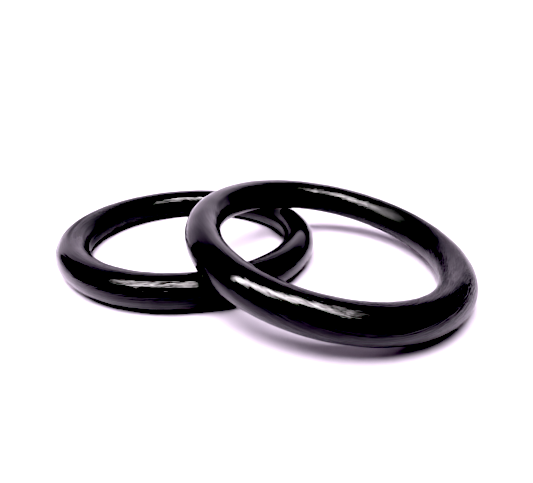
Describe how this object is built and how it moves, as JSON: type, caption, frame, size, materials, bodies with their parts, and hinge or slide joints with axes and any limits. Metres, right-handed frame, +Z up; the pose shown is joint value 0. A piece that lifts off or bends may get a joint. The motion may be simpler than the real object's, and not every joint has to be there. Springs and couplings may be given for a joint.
{
  "type": "gymnastics rings",
  "caption": "Pair of round hand-grip rings in black lacquered laminated wood, one lying flat and the other leaning on it.",
  "frame": {"origin": "centre of the pair's footprint, on the floor", "axes": "+X from the lower ring's centre towards the upper ring's centre, +Z up, Y across the pair's plane of symmetry"},
  "size_m": [0.3734, 0.238, 0.0646],
  "materials": {
    "black_lacquer": "hard high-gloss black lacquer, brushed on, with the grain of the wood showing through as fine streaks",
    "veneer": "plain pale hardwood veneer, hidden under the lacquer"
  },
  "bodies": {
    "lower_ring": {"lower_ring_veneer_01": "veneer", "lower_ring_veneer_02": "veneer", "lower_ring_veneer_03": "veneer", "lower_ring_veneer_04": "veneer", "lower_ring_veneer_05": "veneer", "lower_ring_veneer_06": "veneer", "lower_ring_veneer_07": "veneer", "lower_ring_veneer_08": "veneer", "lower_ring_veneer_09": "veneer", "lower_ring_veneer_10": "veneer", "lower_ring_veneer_11": "veneer", "lower_ring_veneer_12": "veneer", "lower_ring_veneer_13": "veneer", "lower_ring_veneer_14": "veneer", "lower_ring_lacquer": "black_lacquer"},
    "upper_ring": {"upper_ring_veneer_01": "veneer", "upper_ring_veneer_02": "veneer", "upper_ring_veneer_03": "veneer", "upper_ring_veneer_04": "veneer", "upper_ring_veneer_05": "veneer", "upper_ring_veneer_06": "veneer", "upper_ring_veneer_07": "veneer", "upper_ring_veneer_08": "veneer", "upper_ring_veneer_09": "veneer", "upper_ring_veneer_10": "veneer", "upper_ring_veneer_11": "veneer", "upper_ring_veneer_12": "veneer", "upper_ring_veneer_13": "veneer", "upper_ring_veneer_14": "veneer", "upper_ring_lacquer": "black_lacquer"}
  },
  "joints": [
    {"name": "upper_ring_lift", "type": "slide", "parent": "lower_ring", "child": "upper_ring", "axis": [0, 0, 1], "range_m": [0, 0.3]}
  ]
}
